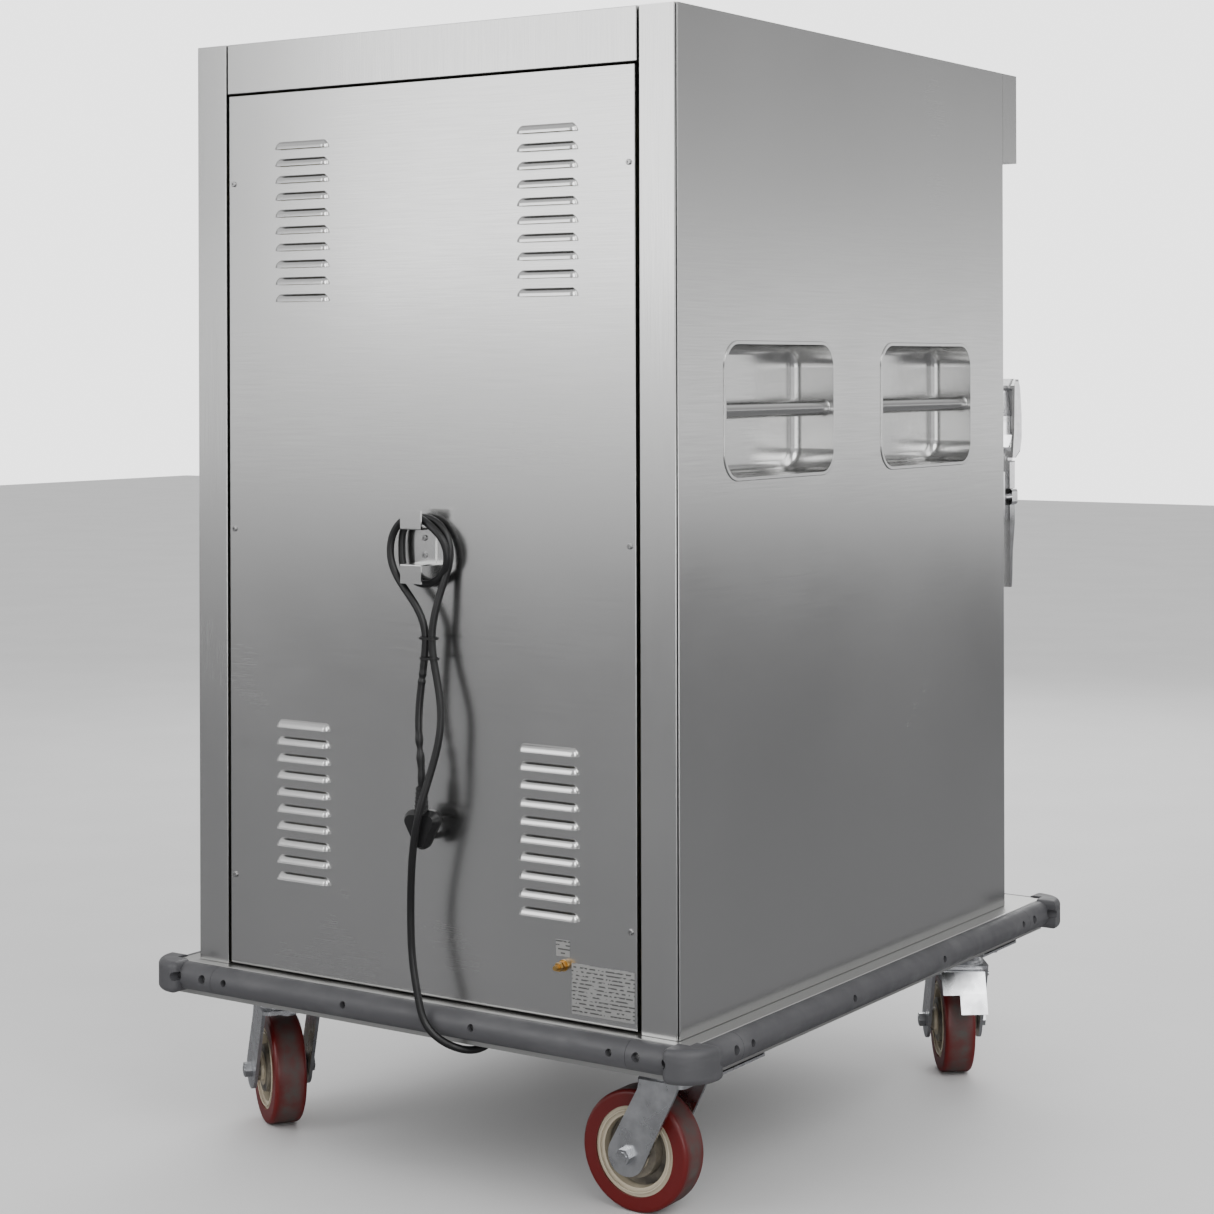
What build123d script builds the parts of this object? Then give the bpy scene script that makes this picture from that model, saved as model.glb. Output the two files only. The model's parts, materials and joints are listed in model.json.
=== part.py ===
"""Mobile heated holding cabinet for food pans, on four swivel casters.

Frame: X to the right seen from the door side, Y towards the rear, Z up, in millimetres.
The body is drawn about its own centre; each part is saved moved to the shared origin, which is
on the floor under the middle of the whole outline.
"Left" and "right" are as seen by someone facing the door.
"""
from build123d import *
from math import cos, radians, sin
import os

# The deck reaches further to the front than to the rear
ORIGIN_SHIFT = 25.6

# Cabinet body
HALF_W = 379.0
HALF_D = 445.5
BODY_BOTTOM = 245.0
BODY_TOP = 1460.0
SHEET = 1.5
THIN = 1.2
GAP = 0.5

# Rear face: corner posts, top rail and louvred panel
POST_INNER = 326.0
POST_OUTER = 376.5
PANEL_HALF = 320.5
PANEL_BOTTOM = 247.0
PANEL_TOP = 1391.5
RAIL_HALF = 323.0
RAIL_BOTTOM = 1394.5
LOUVRE_X = 194.0
LOUVRE_LENGTH = 88.0
LOUVRE_HEIGHT = 10.0
LOUVRE_PROUD = 7.0
LOUVRE_PITCH = 22.0
LOUVRE_ROWS = 10
LOUVRE_BANKS = (1317.0, 566.0)
PANEL_SCREW_X = 312.0
PANEL_SCREW_Z = (1275.5, 821.0, 365.0)

# Side handles
HANDLE_Y = (204.0, -199.0)
HANDLE_Z = 979.5
HANDLE_L = 269.0
HANDLE_H = 165.0
HANDLE_DEPTH = 60.0
HANDLE_R = 30.0
BAR_R = 10.0
BAR_INSET = 15.0

# Deck tray and bumper
TRAY_X = 403.0
TRAY_REAR = 460.0
TRAY_FRONT = -522.0
TRAY_BOTTOM = 201.5
TRAY_SHEET = 2.0
TRAY_MID = (TRAY_REAR + TRAY_FRONT) / 2
TRAY_Y = (TRAY_REAR - TRAY_FRONT) / 2
BUMPER_BOTTOM = 209.0
BUMPER_TOP = 244.5
BUMPER_DEPTH = 21.0
BUMPER_SCREW_Z = 229.0
RAIL_END_X = 326.0
RAIL_END_Y = 404.0
RAIL_SCREWS_X = (101.0, 303.0)
RAIL_SCREWS_Y = (128.0, 382.0)
CORNER_SCREWS_X = (341.0, 383.0)
CORNER_SCREWS_Y = (420.0, 469.0)
BULGE = 31.0
BULGE_R = 45.0

# Front: frame, door and header
FRAME_HALF = 356.0
FRAME_FRONT = -445.5
FRAME_DEPTH = 8.0
OPENING_HALF = 312.0
OPENING_BOTTOM = 290.0
OPENING_TOP = 1302.0
HEADER_BOTTOM = 1331.0
FRONT_FACE = -494.0
DOOR_HALF = 352.0
DOOR_BOTTOM = 262.0
DOOR_TOP = 1323.0
DOOR_BACK = -452.0

# Hinges: three, on a vertical axis beside the door's right edge
HINGE_X = 366.0
HINGE_Y = -478.0
HINGE_Z = (380.0, 790.0, 1210.0)
KNUCKLE_R = 8.0
PIN_R = 4.0
RUNNING = 0.06

# Latch on the door's left edge
LATCH_X = -353.0
LATCH_PIVOT_Y = -508.0
LATCH_PIVOT_Z = 880.0
PLUNGER_X = -364.0
PLUNGER_Z = 840.0
PLUNGER_R = 5.0

# Heated cavity
LINER_BACK = 335.0
LINER_SHEET = 1.0
BOARD_BACK = 377.0
BOARD_TOP = 1343.0
RACK_TIERS = 11
RACK_PITCH = 82.0
RACK_FIRST_Z = 400.0
FAN_Z = 760.0
FAN_Y = 298.0
BAFFLE_Y = 285.0
SHAFT_R = 4.0

# Controls on the header
CONTROL_Z = 1396.0
DIAL_X = -230.0
KNOB_X = -120.0
SWITCH_X = 120.0
LAMP_X = (195.0, 240.0)

# Cord and its hook
HOOK_X = -7.0
HOOK_HALF = 16.2
HOOK_BOTTOM = 787.0
HOOK_TOP = 834.0
HOOK_REACH = 477.0
HOOK_LUG = 22.0
HOOK_SCREW_Z = (820.5, 799.0)
CORD_R = 4.7
CORD_ENTRY = (-99.0, 418.0)
PLUG_AT = (-24.0, 477.0, 462.0)
PLUG_TURN = 16.0

# Casters: wheel trails behind the swivel pivot
WHEEL_R = 75.0
WHEEL_HALF = 22.0
TRAIL = 47.0
LEG_INNER = 35.5
LEG_OUTER = 40.0
AXLE_R = 6.0
KING_R = 7.0
CROWN_BOTTOM = 166.0
CROWN_TOP = 171.0
PLATE_BOTTOM = 190.0
PLATE_TOP = 195.0
PEDAL_PIN = (-18.0, 157.0)
CASTERS = {
    "rear_left": (-307.0, 339.0, 1.0),
    "rear_right": (315.0, 341.0, -36.0),
    "front_left": (-333.0, -383.0, -54.0),
    "front_right": (333.0, -383.0, -70.0),
}


def box(x0, x1, y0, y1, z0, z1):
    """A block between two corners."""
    size = (abs(x1 - x0), abs(y1 - y0), abs(z1 - z0))
    return Pos((x0 + x1) / 2, (y0 + y1) / 2, (z0 + z1) / 2) * Box(*size)


def rod_x(x0, x1, y, z, radius):
    """A round bar along X."""
    return Pos((x0 + x1) / 2, y, z) * Rot(0, 90, 0) * Cylinder(radius, abs(x1 - x0))


def rod_y(x, y0, y1, z, radius):
    """A round bar along Y."""
    return Pos(x, (y0 + y1) / 2, z) * Rot(90, 0, 0) * Cylinder(radius, abs(y1 - y0))


def rod_z(x, y, z0, z1, radius):
    """A round bar along Z."""
    return Pos(x, y, (z0 + z1) / 2) * Cylinder(radius, abs(z1 - z0))


def hex_z(x, y, z0, z1, across):
    """A hexagonal bar along Z, by its distance across flats."""
    profile = Pos(x, y, z0) * RegularPolygon(across / 2, 6, major_radius=False)
    return extrude(profile, amount=z1 - z0)


def hex_y(x, y0, y1, z, across):
    """A hexagonal bar along Y, by its distance across flats."""
    return Pos(x, y0, z) * Rot(-90, 0, 0) * hex_z(0, 0, 0, y1 - y0, across)


def prism_x(points, x0, x1):
    """An outline in the Y-Z plane, extruded along X."""
    face = make_face(Polyline(*[(x0, y, z) for y, z in points], close=True))
    return extrude(face, amount=x1 - x0, dir=(1, 0, 0))


def prism_y(points, y0, y1):
    """An outline in the X-Z plane, extruded along Y."""
    face = make_face(Polyline(*[(x, y0, z) for x, z in points], close=True))
    return extrude(face, amount=y1 - y0, dir=(0, 1, 0))


def prism_z(points, z0, z1):
    """An outline in the X-Y plane, extruded along Z."""
    face = make_face(Polyline(*[(x, y, z0) for x, y in points], close=True))
    return extrude(face, amount=z1 - z0, dir=(0, 0, 1))


def both_sides(shape):
    """A shape and its mirror image across the cabinet's middle."""
    return [shape, mirror(shape, about=Plane.YZ)]


def save(name, solids):
    """Writes one node's solids to its STEP file."""
    items = solids if isinstance(solids, list) else [solids]
    pieces = [Pos(0, ORIGIN_SHIFT, 0) * s for item in items for s in item.solids()]
    export_step(Compound(children=pieces), f"parts/{name}.step")


# --- Deck tray, bumper and caster seats ---

def deck_tray():
    outer = box(-TRAY_X, TRAY_X, TRAY_FRONT, TRAY_REAR, TRAY_BOTTOM, BODY_BOTTOM)
    outer = fillet(outer.edges().filter_by(Axis.Z), 4)
    outer = fillet(outer.edges().group_by(Axis.Z)[-1], 2.2)
    hollow = box(
        -TRAY_X + TRAY_SHEET, TRAY_X - TRAY_SHEET, TRAY_FRONT + TRAY_SHEET,
        TRAY_REAR - TRAY_SHEET, TRAY_BOTTOM - 1, BODY_BOTTOM - TRAY_SHEET,
    )
    hollow = fillet(hollow.edges().filter_by(Axis.Z), 2.5)
    cord_hole = rod_z(*CORD_ENTRY, BODY_BOTTOM - 10, BODY_BOTTOM + 1, 9)
    return outer - hollow - cord_hole


def caster_channels():
    """Two channels under the deck, which the casters bolt to."""
    channels = []
    deck = BODY_BOTTOM - TRAY_SHEET - 0.1
    for y in (CASTERS["rear_left"][1], CASTERS["front_left"][1]):
        web = box(-TRAY_X + 3, TRAY_X - 3, y - 55, y + 55, PLATE_TOP, deck)
        inside = box(-TRAY_X, TRAY_X, y - 52, y + 52, PLATE_TOP + 3, deck + 1)
        channels.append(web - inside)
    return channels


def bumper_profile(at, axis_y):
    """Half-round bumper section, standing off one side of the tray."""
    mid = (BUMPER_BOTTOM + BUMPER_TOP) / 2
    square = 6.0
    if axis_y:
        def point(d, z):
            return (TRAY_X + 0.1 + d, at, z)
    else:
        def point(d, z):
            return (at, TRAY_Y + 0.1 + d, z)
    wires = [
        Line(point(0, BUMPER_TOP), point(0, BUMPER_BOTTOM)),
        Line(point(0, BUMPER_BOTTOM), point(square, BUMPER_BOTTOM)),
        ThreePointArc(
            point(square, BUMPER_BOTTOM), point(BUMPER_DEPTH, mid), point(square, BUMPER_TOP)
        ),
        Line(point(square, BUMPER_TOP), point(0, BUMPER_TOP)),
    ]
    return make_face(Wire(wires))


def screw_seat(x, y, along_x, wide):
    """The counterbore for one bumper screw, whose axis is along X or Y."""
    bore = 5.8 if wide else 4.6
    if along_x:
        return (
            rod_x(TRAY_X + 11, TRAY_X + 40, y, BUMPER_SCREW_Z, bore)
            + rod_x(TRAY_X - 1, TRAY_X + 12, y, BUMPER_SCREW_Z, 2.1)
        )
    return (
        rod_y(x, TRAY_Y + 11, TRAY_Y + 40, BUMPER_SCREW_Z, bore)
        + rod_y(x, TRAY_Y - 1, TRAY_Y + 12, BUMPER_SCREW_Z, 2.1)
    )


def bumper_screw(x, y, along_x, wide):
    """A pan-head screw sitting at the bottom of its counterbore."""
    head = 5.2 if wide else 4.1
    recess = 1.3
    if along_x:
        body = rod_x(TRAY_X + 11.1, TRAY_X + 14, y, BUMPER_SCREW_Z, head)
        body += rod_x(TRAY_X + 0.4, TRAY_X + 12, y, BUMPER_SCREW_Z, 2)
        return body - rod_x(TRAY_X + 12.5, TRAY_X + 15, y, BUMPER_SCREW_Z, recess)
    body = rod_y(x, TRAY_Y + 11.1, TRAY_Y + 14, BUMPER_SCREW_Z, head)
    body += rod_y(x, TRAY_Y + 0.4, TRAY_Y + 12, BUMPER_SCREW_Z, 2)
    return body - rod_y(x, TRAY_Y + 12.5, TRAY_Y + 15, BUMPER_SCREW_Z, recess)


def to_tray(shape, flip_x=False, flip_y=False):
    """Moves a shape made around the tray's centre to its side of the tray."""
    if flip_x:
        shape = mirror(shape, about=Plane.YZ)
    if flip_y:
        shape = mirror(shape, about=Plane.XZ)
    return Pos(0, TRAY_MID, 0) * shape


def bumper_rails():
    """Two long and two short straight bumper extrusions."""
    reach = RAIL_END_X - GAP
    cross = extrude(bumper_profile(-reach, False), amount=2 * reach, dir=(1, 0, 0))
    for x in RAIL_SCREWS_X:
        cross -= screw_seat(x, 0, False, False)
        cross -= screw_seat(-x, 0, False, False)
    reach = RAIL_END_Y - GAP
    along = extrude(bumper_profile(-reach, True), amount=2 * reach, dir=(0, 1, 0))
    for y in RAIL_SCREWS_Y:
        along -= screw_seat(0, y, True, False)
        along -= screw_seat(0, -y, True, False)
    return [
        to_tray(cross), to_tray(cross, flip_y=True),
        to_tray(along), to_tray(along, flip_x=True),
    ]


def bumper_corner():
    """One moulded corner: two arms of the rail's section and a thicker round nose."""
    arm_x = extrude(bumper_profile(RAIL_END_X, False), amount=TRAY_X - RAIL_END_X + 2, dir=(1, 0, 0))
    arm_y = extrude(bumper_profile(RAIL_END_Y, True), amount=TRAY_Y - RAIL_END_Y + 2, dir=(0, 1, 0))
    back = 22.0
    nose = box(
        TRAY_X - back, TRAY_X + BULGE, TRAY_Y - back, TRAY_Y + BULGE,
        BUMPER_BOTTOM - 3, BUMPER_TOP + 3,
    )
    outer_edge = nose.edges().filter_by(Axis.Z).sort_by(lambda e: e.center().X + e.center().Y)
    nose = fillet(outer_edge[-1], BULGE_R)
    side_edges = nose.edges().filter_by(Axis.Z).sort_by(lambda e: e.center().X + e.center().Y)
    nose = fillet([e for e in side_edges[1:] if abs(e.center().X - e.center().Y) > 60], 9)
    nose = fillet(nose.edges().group_by(Axis.Z)[-1], 8)
    nose = fillet(nose.edges().group_by(Axis.Z)[0], 8)
    body = arm_x + arm_y + nose
    body -= box(-TRAY_X - 0.1, TRAY_X + 0.1, -TRAY_Y - 0.1, TRAY_Y + 0.1, 0, 400)
    for x in CORNER_SCREWS_X:
        body -= screw_seat(x, 0, False, True)
    for y in CORNER_SCREWS_Y:
        body -= screw_seat(0, y, True, True)
    return body


def four_corners(shape):
    return [
        to_tray(shape), to_tray(shape, flip_x=True),
        to_tray(shape, flip_y=True), to_tray(shape, flip_x=True, flip_y=True),
    ]


def bumper_screws():
    quarter = [bumper_screw(x, 0, False, False) for x in RAIL_SCREWS_X]
    quarter += [bumper_screw(0, y, True, False) for y in RAIL_SCREWS_Y]
    quarter += [bumper_screw(x, 0, False, True) for x in CORNER_SCREWS_X]
    quarter += [bumper_screw(0, y, True, True) for y in CORNER_SCREWS_Y]
    return [placed for screw in quarter for placed in four_corners(screw)]


# --- Outer shell ---

def handle_outline(grow):
    """Rounded rectangle of a handle recess, in the Y-Z plane."""
    return RectangleRounded(HANDLE_L + 2 * grow, HANDLE_H + 2 * grow, HANDLE_R + grow)


def side_panel():
    """Right-hand side sheet, folded in at its front edge."""
    inner = HALF_W - SHEET
    rear = HALF_D - 2.5
    sheet = box(inner, HALF_W, FRAME_FRONT, rear, BODY_BOTTOM + GAP, BODY_TOP)
    sheet += box(HALF_W - 22, HALF_W, FRAME_FRONT, FRAME_FRONT + SHEET, BODY_BOTTOM + GAP, BODY_TOP)
    corners = [e for e in sheet.edges().filter_by(Axis.Z) if abs(e.center().X - HALF_W) < 0.01]
    sheet = fillet(corners, 1.4)
    for y in HANDLE_Y:
        cutter = Pos(inner - 1, y, HANDLE_Z) * extrude(Plane.YZ * handle_outline(0.3), amount=4)
        sheet -= cutter
    return sheet


def handle_recess(y):
    """Pressed bowl with a thin rim and a round grab bar welded across it (right side)."""
    floor = HALF_W - HANDLE_DEPTH
    shell = Pos(floor, y, HANDLE_Z) * extrude(Plane.YZ * handle_outline(0), amount=HANDLE_DEPTH)
    shell = fillet(shell.edges().group_by(Axis.X)[0], 14)
    hollow = Pos(floor + THIN, y, HANDLE_Z) * extrude(
        Plane.YZ * handle_outline(-THIN), amount=HANDLE_DEPTH + 5
    )
    hollow = fillet(hollow.edges().group_by(Axis.X)[0], 13)
    rim = Pos(HALF_W + 0.1, y, HANDLE_Z) * extrude(Plane.YZ * handle_outline(3.2), amount=1.2)
    rim = fillet(rim.edges().group_by(Axis.X)[-1], 0.9)
    neck = Pos(HALF_W - 3, y, HANDLE_Z) * extrude(Plane.YZ * handle_outline(0), amount=3.5)
    bar = rod_y(HALF_W - BAR_INSET, y - HANDLE_L / 2 + 0.6, y + HANDLE_L / 2 - 0.6, HANDLE_Z, BAR_R)
    return (shell + neck + rim - hollow) + bar


def top_panel():
    edge = HALF_W - SHEET - 0.2
    rear = HALF_D - 22
    sheet = box(-edge, edge, FRAME_FRONT + 2, rear, BODY_TOP - SHEET, BODY_TOP)
    lips = box(-edge, edge, FRAME_FRONT + 2, rear, BODY_TOP - 14, BODY_TOP)
    lips -= box(-edge + SHEET, edge - SHEET, FRAME_FRONT + 3.5, rear - SHEET, BODY_TOP - 15, BODY_TOP)
    return sheet + lips


def rear_post():
    """Right-hand rear corner cover, a shallow channel open to the front."""
    outer = box(POST_INNER, POST_OUTER, HALF_D - 20, HALF_D, BODY_BOTTOM + GAP, BODY_TOP)
    corners = [e for e in outer.edges().filter_by(Axis.Z) if e.center().Y > HALF_D - 1]
    outer = fillet(corners, 1.4)
    hollow = box(
        POST_INNER + SHEET, POST_OUTER - SHEET, HALF_D - 21, HALF_D - SHEET,
        BODY_BOTTOM, BODY_TOP - SHEET,
    )
    return outer - hollow


def folded_panel(half, bottom, top, depth, round_edges, round_bottom):
    """A flat cover whose four edges are folded forward, with rounded bends."""
    outer = box(-half, half, HALF_D - depth, HALF_D, bottom, top)
    face = outer.faces().sort_by(Axis.Y)[-1]
    low = face.edges().sort_by(Axis.Z)[0]
    outer = fillet(low, round_bottom)
    face = outer.faces().filter_by(Axis.Y).sort_by(Axis.Y)[-1]
    others = face.edges().sort_by(Axis.Z)[1:]
    outer = fillet(others, round_edges)
    hollow = box(
        -half + THIN, half - THIN, HALF_D - depth - 1, HALF_D - THIN,
        bottom + THIN, top - THIN,
    )
    low_edges = [
        e for e in hollow.edges().filter_by(Axis.X)
        if e.center().Y > HALF_D - 2 and e.center().Z < bottom + 3
    ]
    hollow = fillet(low_edges, max(round_bottom - THIN, 0.3))
    return outer - hollow


def louvre(proud, height, half):
    """One pressed louvre hood: a quarter-round ridge with swept ends, flat below."""
    profile = [
        Line((0, 0, 0), (0, proud, 0)),
        ThreePointArc((0, proud, 0), (0, proud * 0.68, height * 0.62), (0, 0, height)),
        Line((0, 0, height), (0, 0, 0)),
    ]
    face = make_face(Wire(profile))
    ridge = Pos(-half, 0, 0) * extrude(face, amount=2 * half, dir=(1, 0, 0))
    turned = revolve(face, Axis.Z, 90)
    end = Pos(-half, 0, 0) * turned
    return ridge + end + mirror(end, about=Plane.YZ)


def back_panel():
    """Rear cover with four banks of louvres and holes for its screws."""
    panel = folded_panel(PANEL_HALF, PANEL_BOTTOM, PANEL_TOP, 14, 1.0, 3.6)
    half = LOUVRE_LENGTH / 2 - LOUVRE_PROUD
    hood = louvre(LOUVRE_PROUD, LOUVRE_HEIGHT, half)
    wall = 1.0
    mouth = Pos(0, -3, 0) * box(-half, half, 0, 4.5, -0.2, LOUVRE_HEIGHT - 3)
    cut = louvre(LOUVRE_PROUD - wall, LOUVRE_HEIGHT - 1.3 * wall, half) + mouth
    hoods = []
    cuts = []
    for x in (-LOUVRE_X, LOUVRE_X):
        for first in LOUVRE_BANKS:
            for row in range(LOUVRE_ROWS):
                place = Pos(x, HALF_D, first - row * LOUVRE_PITCH)
                hoods.append(place * hood)
                cuts.append(place * Pos(0, -0.01, -0.02) * cut)
    holes = [
        rod_y(side * PANEL_SCREW_X, HALF_D - 3, HALF_D + 1, z, 2.2)
        for z in PANEL_SCREW_Z for side in (-1, 1)
    ]
    holes += [rod_y(HOOK_X, HALF_D - 3, HALF_D + 1, z, 2.2) for z in HOOK_SCREW_Z]
    holes.append(rod_y(-215, HALF_D - 3, HALF_D + 1, 313, 3.1))
    return panel + hoods - cuts - holes


def rear_screw(x, y, z, head):
    body = rod_y(x, y + 0.05, y + 2.2, z, head)
    body = fillet(body.edges().group_by(Axis.Y)[-1], 1.0)
    body += rod_y(x, y - 9, y + 1, z, 2.0)
    return body - hex_y(x, y + 1.2, y + 3, z, 2.6)


def rear_screws():
    screws = [
        rear_screw(side * PANEL_SCREW_X, HALF_D, z, 3.6)
        for z in PANEL_SCREW_Z for side in (-1, 1)
    ]
    return screws + [rear_screw(HOOK_X, HALF_D + 2.1, z, 3.8) for z in HOOK_SCREW_Z]


# --- Cavity, heating and controls ---

def front_frame():
    """Two stiles and two cross rails around the cavity's mouth."""
    back = FRAME_FRONT + FRAME_DEPTH
    top = BOARD_TOP - 1
    stile = box(OPENING_HALF, FRAME_HALF, FRAME_FRONT, back, BODY_BOTTOM + GAP, top)
    span = OPENING_HALF - 0.1
    lower = box(-span, span, FRAME_FRONT, back, BODY_BOTTOM + GAP, OPENING_BOTTOM)
    upper = box(-span, span, FRAME_FRONT, back, OPENING_TOP, top)
    return both_sides(stile) + [lower, upper]


def inner_liner():
    """Open-fronted inner box, with holes for the fan, heater legs and sensor."""
    half = OPENING_HALF - 1
    front = FRAME_FRONT + FRAME_DEPTH + 0.5
    outer = box(-half, half, front, LINER_BACK, OPENING_BOTTOM + 1, OPENING_TOP - 1)
    outer = fillet([e for e in outer.edges().filter_by(Axis.Z) if e.center().Y > 0], 9)
    s = LINER_SHEET
    hollow = box(
        -half + s, half - s, front - 1, LINER_BACK - s, OPENING_BOTTOM + 1 + s, OPENING_TOP - 1 - s
    )
    hollow = fillet([e for e in hollow.edges().filter_by(Axis.Z) if e.center().Y > 0], 8)
    liner = outer - hollow
    liner -= rod_y(0, LINER_BACK - 5, LINER_BACK + 5, FAN_Z, 27)
    for x in (-40, 40):
        liner -= rod_y(x, LINER_BACK - 5, LINER_BACK + 5, FAN_Z + 150, 6)
    return liner - rod_z(270, 60, OPENING_TOP - 10, OPENING_TOP + 5, 3)


def insulation_boards():
    """Mineral-wool boards: two sides, back, top and floor."""
    front = FRAME_FRONT + FRAME_DEPTH + 1
    low = BODY_BOTTOM + 1
    side = box(OPENING_HALF, HALF_W - SHEET - 1, front, BOARD_BACK, low, BOARD_TOP)
    pocket = HANDLE_DEPTH + 2
    for y in HANDLE_Y:
        side -= box(
            HALF_W - pocket, HALF_W, y - HANDLE_L / 2 - 3, y + HANDLE_L / 2 + 3,
            HANDLE_Z - HANDLE_H / 2 - 3, HANDLE_Z + HANDLE_H / 2 + 3,
        )
    span = OPENING_HALF - 0.5
    back = box(-span, span, LINER_BACK + 0.5, BOARD_BACK, low, BOARD_TOP)
    back -= rod_y(0, LINER_BACK - 5, BOARD_BACK + 5, FAN_Z, 27)
    for x in (-40, 40):
        back -= rod_y(x, LINER_BACK - 5, BOARD_BACK + 5, FAN_Z + 150, 6)
    top = box(-span, span, front, LINER_BACK, OPENING_TOP, BOARD_TOP)
    top -= rod_z(270, 60, OPENING_TOP - 10, BOARD_TOP + 5, 3)
    floor = box(-span, span, front, LINER_BACK, low, OPENING_BOTTOM + 0.5)
    return both_sides(side) + [back, top, floor]


def pan_rack():
    """Right-hand rack: three uprights and a ladder of angle runners for the pans."""
    low = RACK_FIRST_Z - 60
    high = RACK_FIRST_Z + (RACK_TIERS - 1) * RACK_PITCH + 50
    near, far = 272.0, OPENING_HALF - 2.5
    rack = []
    for y in (-370, -70, 220):
        upright = box(near, far, y - 12, y + 12, low, high)
        upright -= box(near + SHEET, far - SHEET, y - 13, y + 12 - SHEET, low - 1, high + 1)
        rack.append(upright)
    for tier in range(RACK_TIERS):
        z = RACK_FIRST_Z + tier * RACK_PITCH
        rack.append(box(near - 1.1, near - 0.1, -415, 265, z, z + 24))
        rack.append(box(near - 27, near - 1.15, -415, 265, z, z + 1))
    return rack


def air_baffle():
    """Cover in front of the fan, with slots for the warm air."""
    half = 262.0
    low, high = 348.0, 1286.0
    plate = box(-half, half, BAFFLE_Y, BAFFLE_Y + THIN, low, high)
    plate += box(-half, -half + THIN, BAFFLE_Y, LINER_BACK - 1.5, low, high)
    plate += box(half - THIN, half, BAFFLE_Y, LINER_BACK - 1.5, low, high)
    slots = []
    for step in range(-4, 5):
        reach = (80 ** 2 - (step * 17) ** 2) ** 0.5
        slots.append(box(-reach, reach, BAFFLE_Y - 1, BAFFLE_Y + 3, FAN_Z + step * 17 - 3, FAN_Z + step * 17 + 3))
    for z in (430, 540, 980, 1090, 1200):
        for side in (-1, 1):
            slots.append(box(side * 150 - 60, side * 150 + 60, BAFFLE_Y - 1, BAFFLE_Y + 3, z - 4, z + 4))
    return plate - slots


def fan_motor():
    """Motor behind the back board, its nose reaching through to the cavity."""
    can = rod_y(0, BOARD_BACK + 2, BOARD_BACK + 52, FAN_Z, 42)
    can = fillet(can.edges().group_by(Axis.Y)[-1], 6)
    flange = box(-55, 55, BOARD_BACK + 0.5, BOARD_BACK + 4, FAN_Z - 55, FAN_Z + 55)
    nose = rod_y(0, LINER_BACK - 6, BOARD_BACK + 3, FAN_Z, 22)
    bore = rod_y(0, LINER_BACK - 10, BOARD_BACK + 40, FAN_Z, SHAFT_R + RUNNING)
    return can + flange + nose - bore


def fan_wheel():
    """Radial fan on its shaft."""
    wheel = rod_y(0, FAN_Y, FAN_Y + 2, FAN_Z, 72)
    wheel += rod_y(0, FAN_Y, FAN_Y + 22, FAN_Z, 14)
    wheel += rod_y(0, FAN_Y, BOARD_BACK + 38, FAN_Z, SHAFT_R)
    blade = box(46, 71, FAN_Y, FAN_Y + 24, FAN_Z - 1, FAN_Z + 1)
    centre = Axis((0, 0, FAN_Z), (0, 1, 0))
    return wheel + [blade.rotate(centre, 30 * k) for k in range(12)]


def heating_element():
    """Ring-shaped tube heater around the fan, with two legs through the back."""
    ring = Pos(0, FAN_Y + 14, FAN_Z) * Rot(90, 0, 0) * Torus(118, 4)
    legs = []
    for x in (-40, 40):
        foot = FAN_Z + (118 ** 2 - x ** 2) ** 0.5 + 4.3
        leg = rod_z(x, FAN_Y + 14, foot, FAN_Z + 154, 3.6)
        legs.append(leg + rod_y(x, FAN_Y + 8, BOARD_BACK + 22, FAN_Z + 150, 4))
    return [ring] + legs


def thermostat():
    """Capillary thermostat: body behind the header, thin tube and sensing bulb."""
    body = box(KNOB_X - 22, KNOB_X + 22, FRONT_FACE + 6, FRONT_FACE + 34, CONTROL_Z - 18, CONTROL_Z + 18)
    body -= rod_y(KNOB_X, FRONT_FACE, FRONT_FACE + 24, CONTROL_Z, 3 + RUNNING)
    tube = rod_y(KNOB_X, FRONT_FACE + 33, 62, CONTROL_Z, 1.2)
    tube += rod_x(KNOB_X - 2, 272, 60, CONTROL_Z, 1.3)
    tube += rod_z(270, 60, 1250, CONTROL_Z + 2, 1.4)
    bulb = rod_y(270, 52, 150, 1250, 4)
    return body + tube + bulb


def water_pan():
    """Shallow pan on the cavity floor that keeps the air moist."""
    low = OPENING_BOTTOM + 3
    outer = box(-240, 240, -330, 30, low, low + 48)
    outer = fillet(outer.edges().filter_by(Axis.Z), 22)
    outer = fillet(outer.edges().group_by(Axis.Z)[0], 8)
    hollow = box(-238.8, 238.8, -328.8, 28.8, low + THIN, low + 60)
    hollow = fillet(hollow.edges().filter_by(Axis.Z), 20.8)
    hollow = fillet(hollow.edges().group_by(Axis.Z)[0], 7)
    rim = box(-248, 248, -338, 38, low + 46.5, low + 48)
    rim = fillet(rim.edges().filter_by(Axis.Z), 28)
    return outer + rim - hollow


def header_housing():
    """Control housing above the door, open to the rear."""
    back = FRAME_FRONT - 0.2
    outer = box(-HALF_W, HALF_W, FRONT_FACE, back, HEADER_BOTTOM, BODY_TOP)
    front = outer.faces().sort_by(Axis.Y)[0]
    outer = fillet(front.edges(), 2.4)
    hollow = box(
        -HALF_W + SHEET, HALF_W - SHEET, FRONT_FACE + SHEET, back + 1,
        HEADER_BOTTOM + SHEET, BODY_TOP - SHEET,
    )
    shell = outer - hollow
    ahead, behind = FRONT_FACE - 5, FRONT_FACE + 5
    shell -= rod_y(DIAL_X, ahead, behind, CONTROL_Z, 25)
    shell -= rod_y(KNOB_X, ahead, behind, CONTROL_Z, 4)
    shell -= box(SWITCH_X - 14, SWITCH_X + 14, ahead, behind, CONTROL_Z - 11, CONTROL_Z + 11)
    for x in LAMP_X:
        shell -= rod_y(x, ahead, behind, CONTROL_Z, 6)
    return shell


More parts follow.
